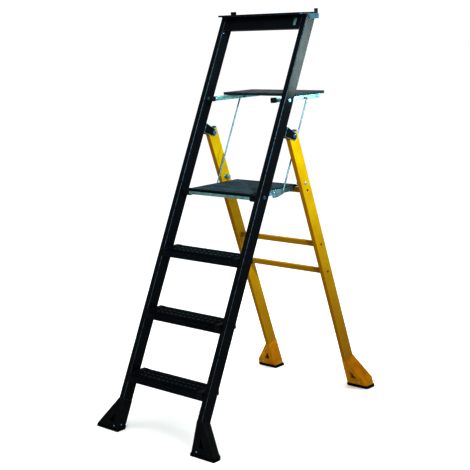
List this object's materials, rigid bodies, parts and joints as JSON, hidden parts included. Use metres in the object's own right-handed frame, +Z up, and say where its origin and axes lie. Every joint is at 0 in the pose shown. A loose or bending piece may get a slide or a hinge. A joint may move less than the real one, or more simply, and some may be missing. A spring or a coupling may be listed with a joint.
{
  "type": "step ladder",
  "caption": "Folding step ladder: leaning front frame with studded treads, hinged rear frame with crossbars, a platform and shelf on link rods, splayed rubber feet.",
  "frame": {"origin": "on the floor, midway between the tips of the front and the rear soles, on the middle plane", "axes": "+X to the right as the climber faces the treads, +Y from the front frame to the rear frame, +Z up"},
  "size_m": [0.656, 1.076, 1.6565],
  "materials": {
    "black_paint": "satin powder coat",
    "yellow_paint": "satin powder coat",
    "yellow_plastic": "moulded, matte",
    "black_plastic": "moulded, matte",
    "grey_plastic": "moulded, matte",
    "rubber": "matte, fine grain",
    "board": "textured dark coating on aluminium sheet",
    "zinc": "bright zinc plate",
    "fastener": "zinc plated"
  },
  "bodies": {
    "front_frame": {"stile_left": "black_paint", "stile_right": "black_paint", "front_foot_left": "black_plastic", "front_foot_right": "black_plastic", "front_sole_left": "rubber", "front_sole_right": "rubber", "hinge_bracket_left": "black_paint", "hinge_bracket_right": "black_paint", "tread_1": "black_paint", "tread_2": "black_paint", "tread_3": "black_paint", "tread_end_caps": "black_plastic", "tread_rivets": "fastener", "top_bar": "black_paint", "top_bar_tab": "zinc", "top_cap": "black_paint", "top_cap_cheeks": "black_paint", "stile_top_rivets": "fastener", "hinge_pins": "fastener", "hinge_nuts": "fastener", "platform_pivot_bolts": "fastener", "shelf_pivot_bolts": "fastener", "front_foot_screws": "fastener"},
    "rear_frame": {"rear_leg_left": "yellow_paint", "rear_leg_right": "yellow_paint", "rear_foot_left": "yellow_plastic", "rear_foot_right": "yellow_plastic", "rear_sole_left": "rubber", "rear_sole_right": "rubber", "crossbar_lower": "yellow_paint", "crossbar_upper": "yellow_paint", "platform_rest_bar": "yellow_paint", "crossbar_rivets": "fastener", "leg_top_caps": "grey_plastic", "hinge_bushes": "grey_plastic", "catch_pins": "fastener", "rear_foot_screws": "fastener"},
    "platform": {"platform_rail_left": "zinc", "platform_rail_right": "zinc", "platform_end_block_left": "black_plastic", "platform_end_block_right": "black_plastic", "rod_bracket_left": "zinc", "rod_bracket_right": "zinc", "platform_panel": "board", "platform_mat": "rubber", "platform_screws": "fastener", "platform_front_bar": "zinc", "platform_rail_caps": "black_plastic", "rod_bracket_bolts": "fastener"},
    "shelf": {"shelf_arm_left": "zinc", "shelf_arm_right": "zinc", "shelf_arm_cap_left": "black_plastic", "shelf_arm_cap_right": "black_plastic", "shelf_panel": "board", "shelf_cross_bar": "zinc", "shelf_pivot_bushes": "zinc", "shelf_screws": "fastener"},
    "link_rods": {"link_rod_left": "zinc", "link_rod_right": "zinc", "rod_clips": "fastener"}
  },
  "joints": [
    {"name": "rear_fold", "type": "hinge", "parent": "front_frame", "child": "rear_frame", "pos_m": [0, 0.11206, 1.153], "axis": [-1, 0, 0], "range_deg": [0, 44]},
    {"name": "platform_lift", "type": "hinge", "parent": "front_frame", "child": "platform", "pos_m": [0, -0.08469, 0.932], "axis": [1, 0, 0], "range_deg": [0, 62.01]},
    {"name": "shelf_lift", "type": "hinge", "parent": "front_frame", "child": "shelf", "pos_m": [0, 0.08879, 1.299], "axis": [1, 0, 0], "range_deg": [0, 62.01]},
    {"name": "rod_swing", "type": "hinge", "parent": "platform", "child": "link_rods", "pos_m": [0, 0.09031, 0.928], "axis": [-1, 0, 0], "range_deg": [0, 62.01]}
  ],
  "couplings": [
    {"joint": "platform_lift", "follows": "rear_fold", "ratio": 1.4091},
    {"joint": "shelf_lift", "follows": "rear_fold", "ratio": 1.4091},
    {"joint": "rod_swing", "follows": "rear_fold", "ratio": 1.4091}
  ]
}
